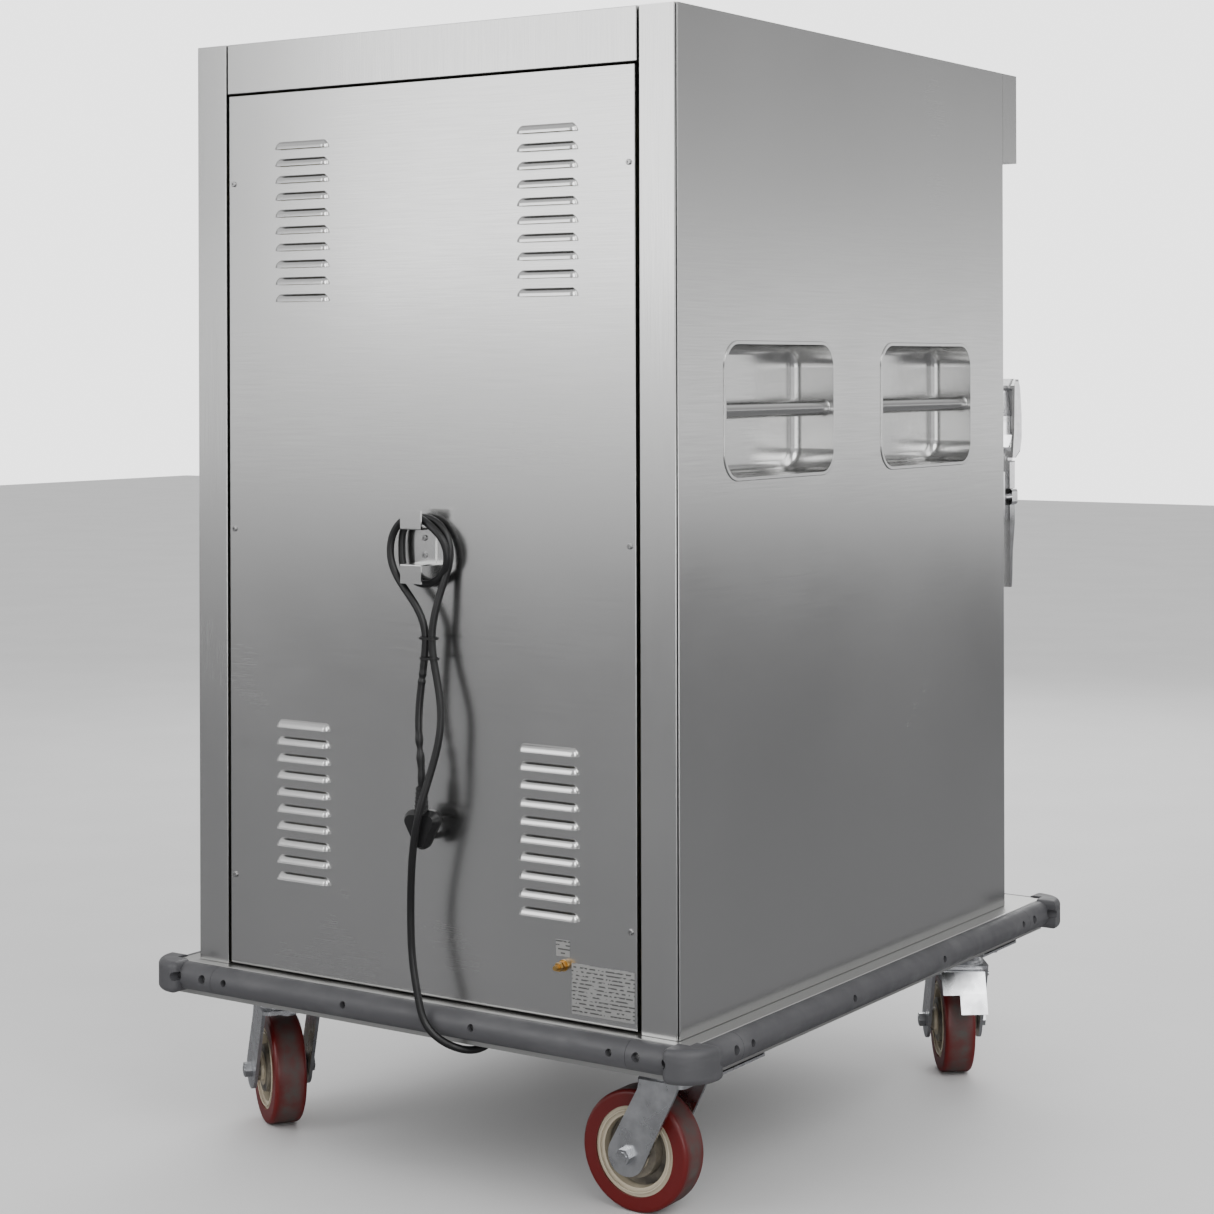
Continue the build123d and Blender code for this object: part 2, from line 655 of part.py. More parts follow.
def thermometer():
    """Round dial thermometer: bezel in front, barrel through the header."""
    bezel = rod_y(DIAL_X, FRONT_FACE - 7, FRONT_FACE - 0.1, CONTROL_Z, 31)
    bezel = fillet(bezel.edges().group_by(Axis.Y)[0], 2.5)
    bezel -= rod_y(DIAL_X, FRONT_FACE - 9, FRONT_FACE - 4, CONTROL_Z, 26.5)
    return bezel + rod_y(DIAL_X, FRONT_FACE - 2, FRONT_FACE + 24, CONTROL_Z, 24.7)


def indicator_lamps():
    lamps = []
    for x in LAMP_X:
        lens = rod_y(x, FRONT_FACE - 5, FRONT_FACE - 0.1, CONTROL_Z, 8)
        lens = fillet(lens.edges().group_by(Axis.Y)[0], 3)
        lamps.append(lens + rod_y(x, FRONT_FACE - 1, FRONT_FACE + 22, CONTROL_Z, 5.8))
    return lamps


def switch_frame():
    """Fixed bezel and body of the rocker switch."""
    bezel = box(SWITCH_X - 17, SWITCH_X + 17, FRONT_FACE - 2.5, FRONT_FACE - 0.1, CONTROL_Z - 13.5, CONTROL_Z + 13.5)
    bezel = fillet(bezel.edges().group_by(Axis.Y)[0], 1)
    body = box(SWITCH_X - 13.7, SWITCH_X + 13.7, FRONT_FACE - 1, FRONT_FACE + 26, CONTROL_Z - 10.7, CONTROL_Z + 10.7)
    well = box(SWITCH_X - 12, SWITCH_X + 12, FRONT_FACE - 8, FRONT_FACE + 12, CONTROL_Z - 9, CONTROL_Z + 9)
    pin = rod_z(SWITCH_X, FRONT_FACE + 2, CONTROL_Z - 9.5, CONTROL_Z + 9.5, 1.5)
    return bezel + body - well + pin


def power_rocker():
    """Rocker cap, pivoted on a vertical pin."""
    tilt = 2.6
    outline = [
        (SWITCH_X - 9.5, FRONT_FACE - 2 - tilt), (SWITCH_X, FRONT_FACE - 3.2),
        (SWITCH_X + 9.5, FRONT_FACE - 2 + tilt), (SWITCH_X + 9.3, FRONT_FACE + 1 + tilt),
        (SWITCH_X + 3, FRONT_FACE + 6), (SWITCH_X - 3, FRONT_FACE + 6),
        (SWITCH_X - 9.3, FRONT_FACE + 1),
    ]
    cap = prism_z(outline, CONTROL_Z - 8.6, CONTROL_Z + 8.6)
    return cap - rod_z(SWITCH_X, FRONT_FACE + 2, CONTROL_Z - 10, CONTROL_Z + 10, 1.5 + RUNNING)


def thermostat_knob():
    """Round control knob with a grip rib, on its spindle."""
    skirt = rod_y(KNOB_X, FRONT_FACE - 7, FRONT_FACE - 1, CONTROL_Z, 23)
    skirt = fillet(skirt.edges().group_by(Axis.Y)[0], 1.5)
    grip = rod_y(KNOB_X, FRONT_FACE - 22, FRONT_FACE - 6, CONTROL_Z, 17)
    grip = fillet(grip.edges().group_by(Axis.Y)[0], 2)
    rib = box(KNOB_X - 2.2, KNOB_X + 2.2, FRONT_FACE - 24, FRONT_FACE - 6, CONTROL_Z - 16, CONTROL_Z + 18)
    spindle = rod_y(KNOB_X, FRONT_FACE - 3, FRONT_FACE + 20, CONTROL_Z, 3)
    return skirt + grip + rib + spindle


# --- Cord, hook, plug and rear fittings ---

def cord_hook():
    """Folded bracket: base plate, two arms and a turned-out lug on each."""
    x0, x1 = HOOK_X - HOOK_HALF, HOOK_X + HOOK_HALF
    t = 2.0
    base = HALF_D + 0.05
    outline = [
        (base, HOOK_BOTTOM), (HOOK_REACH - t, HOOK_BOTTOM), (HOOK_REACH - t, HOOK_BOTTOM - HOOK_LUG),
        (HOOK_REACH, HOOK_BOTTOM - HOOK_LUG), (HOOK_REACH, HOOK_BOTTOM + t), (base + t, HOOK_BOTTOM + t),
        (base + t, HOOK_TOP - t), (HOOK_REACH, HOOK_TOP - t), (HOOK_REACH, HOOK_TOP + HOOK_LUG),
        (HOOK_REACH - t, HOOK_TOP + HOOK_LUG), (HOOK_REACH - t, HOOK_TOP), (base, HOOK_TOP),
    ]
    hook = prism_x(outline, x0, x1)
    bends = [
        e for e in hook.edges().filter_by(Axis.X)
        if e.center().Y > HOOK_REACH - 0.1 and HOOK_BOTTOM < e.center().Z < HOOK_TOP
    ]
    hook = fillet(bends, 1.5)
    for z in HOOK_SCREW_Z:
        hook -= rod_y(HOOK_X, HALF_D - 1, HALF_D + 5, z, 2.2)
    return hook


def cord_path():
    """From inside the cabinet, under the deck, up to the hook, twice round it and down to the plug."""
    x, y = CORD_ENTRY
    rise = [
        (x, y, 262), (x, y, 235), (x + 1, y + 3, 211), (x + 7, y + 18, 197), (x + 18, 461, 195),
        (-66, 476, 202), (-52, 486, 213), (-40, 489, 225), (-27, 489, 257), (-17, 487, 300),
        (-14, 487, 352), (-20, 493, 411), (-28, 497, 456), (-38, 494.5, 501), (-46, 485, 541),
        (-53, 476, 600), (-43, 471, 650), (-35, 470, 697), (-39, 467, 735), (-46, 460, 768),
    ]
    first_turn = [
        (-52, 455, 800), (-39, 453, 833), (-8, 453, 846), (20, 454, 833),
        (24, 455, 808), (19, 456, 781), (-8, 457, 764), (-36, 459, 771),
    ]
    second_turn = [
        (-52, 462, 792), (-50, 464, 815), (-30, 465, 836), (-6, 465, 847), (20, 465, 838), (33, 466, 812),
    ]
    fall = [
        (30, 467, 788), (13, 468, 762), (-10, 469, 736), (-22, 469, 712), (-23, 469, 680),
        (-19, 471, 640), (-17, 474, 590), (-23, 477.5, 545), (-24.3, 478, 506),
    ]
    return Spline(*rise, *first_turn, *second_turn, *fall)


def power_cord():
    """The flexible cord, its entry bushing and two cable ties."""
    path = cord_path()
    section = Plane(origin=path @ 0, z_dir=path % 0) * Circle(CORD_R)
    cord = sweep(section, path=path, is_frenet=True)
    x, y = CORD_ENTRY
    deck = BODY_BOTTOM - TRAY_SHEET
    bushing = rod_z(x, y, deck - 6, deck - 0.2, 14) + rod_z(x, y, deck - 6, BODY_BOTTOM + 4, 8.5)
    bushing += Pos(x, y, deck - 15) * Cone(6.6, 9.5, 20)
    bushing -= rod_z(x, y, deck - 40, BODY_BOTTOM + 10, CORD_R + 0.5)
    ties = []
    for z, low_x in ((697, -30), (672, -31)):
        tie = extrude(Pos(low_x, 470, z) * SlotOverall(27, 15), amount=3)
        hole = extrude(Pos(low_x, 470, z - 1) * SlotOverall(24.4, 12.4), amount=5)
        ties.append(tie - hole)
    return [cord, bushing] + ties


def mains_plug():
    """Moulded three-pin plug hanging by its strain relief, pins towards the panel."""
    circles = [
        Pos(-11, 12) * Circle(12.5),
        Pos(11, 12) * Circle(12.5),
        Pos(0, -13) * Circle(11.5),
    ]
    outline = make_hull([edge for circle in circles for edge in circle.edges()])
    upright = Plane(origin=(0, 0, 0), x_dir=(-1, 0, 0), z_dir=(0, 1, 0))
    flange = extrude(upright * outline, amount=9)
    flange = fillet(flange.edges().group_by(Axis.Y)[0], 1.5)
    dome = Pos(0, 9, 0) * extrude(upright * outline, amount=12, taper=22)
    relief = Pos(0, 10, 36) * Cone(9.0, 6.4, 36)
    bore = rod_z(0, 9.9, 40, 60, CORD_R + 1.0)
    pins = [
        box(-14.3, -7.9, -17, 0.5, 7, 11), box(7.9, 14.3, -17, 0.5, 7, 11),
        box(-2, 2, -21, 0.5, -17, -9),
    ]
    plug = flange + dome + relief - bore + pins
    return Pos(*PLUG_AT) * Rot(0, 0, PLUG_TURN) * Pos(0, -9, 0) * plug


def rear_labels():
    """Blank rating plate and a small blank symbol plate."""
    y0, y1 = HALF_D + 0.05, HALF_D + 0.45
    return [box(-317, -227, y0, y1, 257, 317.5), box(-224, -204, y0, y1, 323.5, 343.5)]


def earth_stud():
    """Bonding stud with a washer and two nuts."""
    x, z = -215, 313
    stud = rod_y(x, HALF_D - 8, HALF_D + 19, z, 3.0)
    stud += rod_y(x, HALF_D + 0.1, HALF_D + 1.4, z, 7.0)
    stud += hex_y(x, HALF_D + 1.3, HALF_D + 6, z, 10)
    return stud + hex_y(x, HALF_D + 8.5, HALF_D + 12.5, z, 10)


# --- Door, hinges and latch ---

def door_skin():
    outer = box(-DOOR_HALF, DOOR_HALF, FRONT_FACE, DOOR_BACK - 1.1, DOOR_BOTTOM, DOOR_TOP)
    front = outer.faces().sort_by(Axis.Y)[0]
    outer = fillet(front.edges(), 3)
    hollow = box(
        -DOOR_HALF + THIN, DOOR_HALF - THIN, FRONT_FACE + THIN, DOOR_BACK,
        DOOR_BOTTOM + THIN, DOOR_TOP - THIN,
    )
    return outer - hollow


def door_inner_pan():
    pan = box(-DOOR_HALF, DOOR_HALF, DOOR_BACK - 1, DOOR_BACK, DOOR_BOTTOM, DOOR_TOP)
    return fillet(pan.edges().filter_by(Axis.Y), 2)


def door_insulation():
    inset = THIN + 0.6
    return box(
        -DOOR_HALF + inset, DOOR_HALF - inset, FRONT_FACE + inset, DOOR_BACK - 1.4,
        DOOR_BOTTOM + inset, DOOR_TOP - inset,
    )


def door_gasket():
    """Hollow-look sealing ring around the door's inner face."""
    y0, y1 = DOOR_BACK + 0.05, FRAME_FRONT - 0.3
    outer = box(-331, 331, y0, y1, 273, 1319)
    outer = fillet(outer.edges().filter_by(Axis.Y), 8)
    hole = box(-316, 316, y0 - 1, y1 + 1, 288, 1304)
    hole = fillet(hole.edges().filter_by(Axis.Y), 4)
    ring = outer - hole
    return fillet(ring.edges().group_by(Axis.Y)[-1], 2.4)


def hinge_frame_leaf(z):
    """Fixed leaf: plate on the cabinet, two outer knuckles and the pin."""
    plate = box(357.5, 377, FRAME_FRONT - 3.1, FRAME_FRONT - 0.1, z - 40, z + 40)
    parts = []
    for low, high in ((z - 40, z - 20), (z + 20, z + 40)):
        parts.append(box(361.5, 370.5, HINGE_Y, FRAME_FRONT - 1, low, high))
        parts.append(rod_z(HINGE_X, HINGE_Y, low, high, KNUCKLE_R))
    parts.append(rod_z(HINGE_X, HINGE_Y, z - 40, z + 40, PIN_R))
    return plate + parts


def hinge_door_leaf(z):
    """Moving leaf: middle knuckle and a strap across the door's face."""
    half = 19.6
    face = FRONT_FACE - 0.1
    strap = prism_z(
        [
            (298, face - 3), (354, face - 3), (HINGE_X + 4, HINGE_Y - 7), (HINGE_X - 4, HINGE_Y + 6.5),
            (354.5, HINGE_Y - 3), (354.5, face), (298, face),
        ],
        z - half, z + half,
    )
    leaf = strap + rod_z(HINGE_X, HINGE_Y, z - half, z + half, KNUCKLE_R)
    for x in (308, 336):
        for dz in (-11, 11):
            head = rod_y(x, face - 5.4, face - 2.5, z + dz, 4.2)
            leaf += fillet(head.edges().group_by(Axis.Y)[0], 1.6)
    return leaf - rod_z(HINGE_X, HINGE_Y, z - 30, z + 30, PIN_R + RUNNING)


def latch_housing():
    """Chrome latch body: slim foot, thicker head, and a tongue beside the door's edge."""
    face = FRONT_FACE - 0.1
    outline = [
        (face, 706), (face - 8, 706), (face - 10, 722), (face - 12, 760),
        (face - 19, 800), (face - 20, 893), (face, 893),
    ]
    body = prism_x(outline, LATCH_X - 13, LATCH_X + 13)
    rim = [e for e in body.edges() if e.center().Y < face - 6 and abs(e.center().X - LATCH_X) > 12]
    body = fillet(rim, 2.5)
    tongue = box(-373, LATCH_X + 6, face - 12, face + 7, PLUNGER_Z - 12, PLUNGER_Z + 12)
    tongue -= box(-DOOR_HALF - 1.5, 0, face, face + 20, PLUNGER_Z - 30, PLUNGER_Z + 30)
    body += fillet(tongue.edges().filter_by(Axis.Y).sort_by(Axis.X)[:2], 5)
    body -= box(LATCH_X - 7.6, LATCH_X + 7.6, face - 30, face - 3.5, LATCH_PIVOT_Z - 12, 900)
    body += rod_x(LATCH_X - 12, LATCH_X + 12, LATCH_PIVOT_Y, LATCH_PIVOT_Z, 3)
    body -= rod_y(PLUNGER_X, face - 30, face + 20, PLUNGER_Z, PLUNGER_R + RUNNING)
    for z in (716, 745):
        head = rod_y(LATCH_X, face - 14, face - 5, z, 4)
        body += fillet(head.edges().group_by(Axis.Y)[0], 1.5)
    return body


def latch_plunger():
    """Push-off pin that the lever drives against the strike."""
    pin = rod_y(PLUNGER_X, -504, -462.5, PLUNGER_Z, PLUNGER_R)
    return fillet(pin.edges().group_by(Axis.Y)[-1], 1.5)


def strike_plate():
    strike = box(-377, -357.5, FRAME_FRONT - 9.5, FRAME_FRONT - 0.1, PLUNGER_Z - 38, PLUNGER_Z + 38)
    front = strike.faces().sort_by(Axis.Y)[0]
    strike = fillet(front.edges(), 2)
    for dz in (-27, 27):
        strike -= Pos(-367.2, FRAME_FRONT - 8, PLUNGER_Z + dz) * Rot(90, 0, 0) * Cone(2, 5, 4)
    return strike


def latch_lever():
    """Pull lever: a channel-backed grip that stands off the door, on a pivot boss."""
    foot = LATCH_PIVOT_Z + 17
    outline = [
        (-500, foot), (-516, foot), (-529, 905), (-535, 925), (-535, 960), (-530, 1000), (-524, 1014),
        (-512, 1014), (-508, 1004), (-506, 940),
    ]
    grip = prism_x(outline, LATCH_X - 15, LATCH_X + 15)
    grip = fillet([e for e in grip.edges() if e.center().Y < -510 and abs(e.center().X - LATCH_X) > 14], 4)
    hollow = prism_x(
        [(-490, 904), (-522, 912), (-529, 930), (-529, 958), (-525, 996), (-490, 1004)],
        LATCH_X - 11, LATCH_X + 11,
    )
    boss = rod_x(LATCH_X - 7, LATCH_X + 7, LATCH_PIVOT_Y, LATCH_PIVOT_Z, 9)
    neck = box(LATCH_X - 7, LATCH_X + 7, -516.5, -500, LATCH_PIVOT_Z, foot + 2)
    bore = rod_x(LATCH_X - 20, LATCH_X + 20, LATCH_PIVOT_Y, LATCH_PIVOT_Z, 3 + RUNNING)
    return grip - hollow + boss + neck - bore


# --- Casters, built round the swivel axis with the wheel trailing along +X ---

def place_caster(name, shape):
    x, y, turn = CASTERS[name]
    return Pos(x, y, 0) * Rot(0, 0, turn) * shape


def caster_plate(name):
    """Fixed top plate with its lower race and kingpin; not turned with the fork."""
    x, y, _ = CASTERS[name]
    plate = box(-52, 52, -42, 42, PLATE_BOTTOM, PLATE_TOP - 0.1)
    plate = fillet(plate.edges().filter_by(Axis.Z), 8)
    plate += rod_z(0, 0, PLATE_BOTTOM - 6, PLATE_BOTTOM + 1, 29)
    plate += rod_z(0, 0, CROWN_BOTTOM - 4, PLATE_BOTTOM, KING_R)
    plate += rod_z(0, 0, CROWN_BOTTOM - 8, CROWN_BOTTOM - 1, 12)
    for dx in (-40, 40):
        for dy in (-30, 30):
            plate -= rod_z(dx, dy, PLATE_BOTTOM - 1, PLATE_TOP + 1, 5.2)
    return Pos(x, y, 0) * plate


def caster_bolts():
    bolts = []
    for x, y, _ in CASTERS.values():
        for dx in (-40, 40):
            for dy in (-30, 30):
                bolt = hex_z(x + dx, y + dy, PLATE_BOTTOM - 6.5, PLATE_BOTTOM - 0.1, 15)
                bolts.append(bolt + rod_z(x + dx, y + dy, PLATE_BOTTOM - 1, PLATE_TOP - 0.2, 5.0))
    return bolts


def fork(with_pedal):
    """Bent fork with its raceway, plus the axle bolt and nut as separate pieces."""
    crown = box(-34, 34, -LEG_OUTER, LEG_OUTER, CROWN_BOTTOM, CROWN_TOP)
    crown = fillet(crown.edges().filter_by(Axis.Z), 10)
    body = crown + Pos(0, 0, (CROWN_TOP + PLATE_BOTTOM - 6.5) / 2) * Cone(36, 30, PLATE_BOTTOM - 6.5 - CROWN_TOP)
    leg_outline = [
        (TRAIL - 23.4, 63.6), (-23, 158), (-28, CROWN_TOP), (28, CROWN_TOP), (31, 158), (TRAIL + 23.4, 86.4),
    ]
    leg = prism_y(leg_outline, LEG_INNER, LEG_OUTER)
    leg += rod_y(TRAIL, LEG_INNER, LEG_OUTER, WHEEL_R, 26)
    legs = leg + mirror(leg, about=Plane.XZ)
    if with_pedal:
        legs += rod_y(PEDAL_PIN[0], -LEG_OUTER - 2, LEG_OUTER + 2, PEDAL_PIN[1], 3)
    body += legs
    body -= rod_z(0, 0, CROWN_BOTTOM - 5, PLATE_BOTTOM + 5, KING_R + RUNNING)
    body -= rod_y(TRAIL, -60, 60, WHEEL_R, AXLE_R + 0.05)
    bolt = rod_y(TRAIL, -LEG_OUTER - 0.5, LEG_OUTER + 10, WHEEL_R, AXLE_R)
    bolt += hex_y(TRAIL, -LEG_OUTER - 8, -LEG_OUTER - 0.1, WHEEL_R, 18)
    nut = hex_y(TRAIL, LEG_OUTER + 0.1, LEG_OUTER + 9, WHEEL_R, 18)
    nut -= rod_y(TRAIL, LEG_OUTER - 1, LEG_OUTER + 12, WHEEL_R, AXLE_R + 0.05)
    return [body, bolt, nut]


def turned(points):
    """A ring made by turning an outline of (radius, offset) about the wheel's axle."""
    face = make_face(Polyline(*[(TRAIL + r, y, WHEEL_R) for r, y in points], close=True))
    return revolve(face, Axis((TRAIL, 0, WHEEL_R), (0, 1, 0)), 360)


def wheel_core():
    """Rim, web and hub in one moulding."""
    bore = AXLE_R + RUNNING
    side = [(15, 34.3), (17, 25), (31.5, 22.5), (33, 7), (43, 7), (44.5, WHEEL_HALF - 3), (55.4, WHEEL_HALF - 3)]
    outline = [(bore, -34.3)] + [(r, -y) for r, y in side] + side[::-1] + [(bore, 34.3)]
    return turned(outline)


def wheel_tread():
    """Cast tyre with rounded shoulders."""
    tread = turned([(55.5, -WHEEL_HALF), (WHEEL_R, -WHEEL_HALF), (WHEEL_R, WHEEL_HALF), (55.5, WHEEL_HALF)])
    shoulders = [e for e in tread.edges().filter_by(GeomType.CIRCLE) if e.radius > WHEEL_R - 1]
    return fillet(shoulders, 5.5)


def brake_pedal():
    """Pressed pedal hung from a cross pin in front of the wheel."""
    px, pz = PEDAL_PIN
    cheek = prism_y(
        [(px + 7, pz - 5), (px + 7, pz + 6), (-46, 165), (-60, 137), (-56, 136), (-43, 153)], 28, 31,
    )
    pedal = cheek + mirror(cheek, about=Plane.XZ)
    pedal += prism_y([(-43, 165), (-46, 165.5), (-61, 136), (-58, 135)], -31, 31)
    pedal += prism_y([(-58, 137), (-61, 137), (-72, 111), (-69, 110)], -31, 7)
    pedal += prism_y([(px + 2, pz + 5), (px + 2, pz + 7.5), (-44, 165.6), (-44, 162.6)], -31, 31)
    return pedal - rod_y(px, -45, 45, pz, 3 + RUNNING)


def main():
    os.makedirs("parts", exist_ok=True)
    save("deck_tray", deck_tray())
    save("caster_channels", caster_channels())
    save("bumper_rails", bumper_rails())
    save("bumper_corners", four_corners(bumper_corner()))
    save("bumper_screws", bumper_screws())
    panel = side_panel()
    save("side_panel_right", panel)
    save("side_panel_left", mirror(panel, about=Plane.YZ))
    recesses = [handle_recess(y) for y in HANDLE_Y]
    save("handle_recesses", recesses + [mirror(r, about=Plane.YZ) for r in recesses])
    save("top_panel", top_panel())
    save("rear_posts", both_sides(rear_post()))
    save("rear_top_rail", folded_panel(RAIL_HALF, RAIL_BOTTOM, BODY_TOP, 18, 1.0, 1.0))
    save("back_panel", back_panel())
    save("rear_screws", rear_screws())
    save("front_frame", front_frame())
    save("inner_liner", inner_liner())
    save("insulation_boards", insulation_boards())
    save("pan_racks", [side for piece in pan_rack() for side in both_sides(piece)])
    save("air_baffle", air_baffle())
    save("fan_motor", fan_motor())
    save("fan_wheel", fan_wheel())
    save("heating_element", heating_element())
    save("thermostat", thermostat())
    save("water_pan", water_pan())
    save("header_housing", header_housing())
    save("thermometer", thermometer())
    save("indicator_lamps", indicator_lamps())
    save("switch_frame", switch_frame())
    save("power_rocker", power_rocker())
    save("thermostat_knob", thermostat_knob())
    save("cord_hook", cord_hook())
    save("power_cord", power_cord())
    save("mains_plug", mains_plug())
    save("rear_labels", rear_labels())
    save("earth_stud", earth_stud())
    save("door_skin", door_skin())
    save("door_inner_pan", door_inner_pan())
    save("door_insulation", door_insulation())
    save("door_gasket", door_gasket())
    save("hinge_frame_leaves", [hinge_frame_leaf(z) for z in HINGE_Z])
    save("hinge_door_leaves", [hinge_door_leaf(z) for z in HINGE_Z])
    save("latch_housing", latch_housing())
    save("latch_plunger", latch_plunger())
    save("latch_lever", latch_lever())
    save("strike_plate", strike_plate())
    save("caster_plates", [caster_plate(name) for name in CASTERS])
    save("caster_bolts", caster_bolts())
    for name in CASTERS:
        braked = name.startswith("front")
        save(f"fork_{name}", [place_caster(name, s) for s in fork(braked)])
        save(f"wheel_core_{name}", place_caster(name, wheel_core()))
        save(f"wheel_tread_{name}", place_caster(name, wheel_tread()))
        if braked:
            save(f"brake_pedal_{name}", place_caster(name, brake_pedal()))


main()
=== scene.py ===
"""Looks for the mobile heated holding cabinet, seen from its rear left corner."""

import json
import math

import bpy
from mathutils import Matrix, Vector


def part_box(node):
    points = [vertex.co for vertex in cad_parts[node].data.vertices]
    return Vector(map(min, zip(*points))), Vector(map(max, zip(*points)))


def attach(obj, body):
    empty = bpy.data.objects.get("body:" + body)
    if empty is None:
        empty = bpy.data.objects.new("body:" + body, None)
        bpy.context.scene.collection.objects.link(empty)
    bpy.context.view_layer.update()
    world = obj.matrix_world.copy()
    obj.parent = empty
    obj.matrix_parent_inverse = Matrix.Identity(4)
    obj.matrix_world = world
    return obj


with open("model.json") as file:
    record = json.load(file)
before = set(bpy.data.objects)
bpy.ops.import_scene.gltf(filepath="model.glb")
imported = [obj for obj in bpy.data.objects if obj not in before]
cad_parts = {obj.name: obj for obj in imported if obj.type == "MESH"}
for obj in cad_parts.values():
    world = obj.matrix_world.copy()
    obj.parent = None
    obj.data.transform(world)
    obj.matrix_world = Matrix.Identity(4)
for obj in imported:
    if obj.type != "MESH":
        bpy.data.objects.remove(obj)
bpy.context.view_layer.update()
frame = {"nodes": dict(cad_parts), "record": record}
NODES = frame["nodes"]
SHIFT = 0.0256
SLOTS = {entry["node"]: entry["material_slot"] for entry in frame["record"]["subparts"]}


# --- Materials ---

class Surface:
    """One procedural material, in metres of the object's own space."""

    def __init__(self, name, color, metallic=0.0, rough=0.5):
        self.mat = bpy.data.materials.new(name)
        self.mat.use_nodes = True
        self.tree = self.mat.node_tree
        self.bsdf = self.tree.nodes["Principled BSDF"]
        self.bsdf.inputs["Base Color"].default_value = (*color, 1)
        self.bsdf.inputs["Metallic"].default_value = metallic
        self.bsdf.inputs["Roughness"].default_value = rough
        self.coords = self.add("ShaderNodeTexCoord").outputs["Object"]
        self.height = None

    def add(self, kind, **values):
        node = self.tree.nodes.new(kind)
        for key, value in values.items():
            setattr(node, key, value)
        return node

    def link(self, a, b):
        self.tree.links.new(a, b)

    def noise(self, scale, stretch=(1, 1, 1), detail=4.0):
        """Noise between 0 and 1, stretched along the object's axes."""
        mapping = self.add("ShaderNodeMapping")
        mapping.inputs["Scale"].default_value = stretch
        self.link(self.coords, mapping.inputs["Vector"])
        noise = self.add("ShaderNodeTexNoise")
        noise.inputs["Scale"].default_value = scale
        noise.inputs["Detail"].default_value = detail
        self.link(mapping.outputs["Vector"], noise.inputs["Vector"])
        return noise.outputs["Fac"]

    def remap(self, value, low, high, start=0.35, end=0.65):
        node = self.add("ShaderNodeMapRange")
        node.inputs["From Min"].default_value = start
        node.inputs["From Max"].default_value = end
        node.inputs["To Min"].default_value = low
        node.inputs["To Max"].default_value = high
        self.link(value, node.inputs["Value"])
        return node.outputs["Result"]

    def math(self, operation, a, b):
        node = self.add("ShaderNodeMath", operation=operation)
        for socket, value in zip(node.inputs, (a, b)):
            if isinstance(value, (int, float)):
                socket.default_value = value
            else:
                self.link(value, socket)
        return node.outputs["Value"]

    def rough(self, value):
        self.link(value, self.bsdf.inputs["Roughness"])
        return self

    def tint(self, factor, color_a, color_b):
        mix = self.add("ShaderNodeMix", data_type="RGBA")
        mix.inputs[6].default_value = (*color_a, 1)
        mix.inputs[7].default_value = (*color_b, 1)
        self.link(factor, mix.inputs[0])
        self.link(mix.outputs[2], self.bsdf.inputs["Base Color"])
        return mix

    def bump(self, value, distance, strength=1.0):
        node = self.add("ShaderNodeBump")
        node.inputs["Strength"].default_value = strength
        node.inputs["Distance"].default_value = distance
        self.link(value, node.inputs["Height"])
        if self.height is not None:
            self.link(self.height, node.inputs["Normal"])
        self.height = node.outputs["Normal"]
        self.link(self.height, self.bsdf.inputs["Normal"])
        return self


def brushed(name, color, stretch, rough=0.22, grain=0.000006):
    """Brushed stainless sheet: long fine grain, soft smears and a few marks."""
    s = Surface(name, color, 1.0, rough)
    fine = s.noise(620, stretch, 3)
    smear = s.noise(2.2, (1, 1, 1), 5)
    s.rough(s.math("ADD", s.remap(fine, rough - 0.025, rough + 0.025), s.remap(smear, -0.02, 0.03)))
    s.tint(s.remap(fine, 0, 1), color, tuple(c * 0.965 for c in color))
    return s.bump(fine, grain, 0.4)


def plain_metal(name, color, rough, spread=0.06, bump=0.00003):
    s = Surface(name, color, 1.0, rough)
    cloud = s.noise(35, detail=6)
    s.rough(s.remap(cloud, rough - spread, rough + spread))
    s.tint(s.remap(s.noise(90), 0, 1), color, tuple(c * 0.86 for c in color))
    return s.bump(s.noise(400), bump, 0.4)


def moulded(name, color, rough, fleck=0.8, bump=0.00012, scale=260):
    """Plastic or rubber with a fine grained skin and slightly worn colour."""
    s = Surface(name, color, 0.0, rough)
    cloud = s.noise(14, detail=7)
    s.rough(s.remap(cloud, rough - 0.1, rough + 0.1))
    s.tint(s.remap(cloud, 0, 1), color, tuple(c * fleck for c in color))
    return s.bump(s.noise(scale), bump, 0.5)


def bumper_rubber():
    """Grey bumper with pale scuffs."""
    s = Surface("bumper", (0.060, 0.060, 0.065), 0.0, 0.5)
    scuff = s.remap(s.noise(26, (0.5, 0.5, 1.6), 8), 0, 1, 0.5, 0.85)
    s.tint(scuff, (0.060, 0.060, 0.065), (0.095, 0.095, 0.10))
    s.rough(s.remap(s.noise(40), 0.40, 0.58))
    return s.bump(s.noise(500), 0.00012, 0.5)


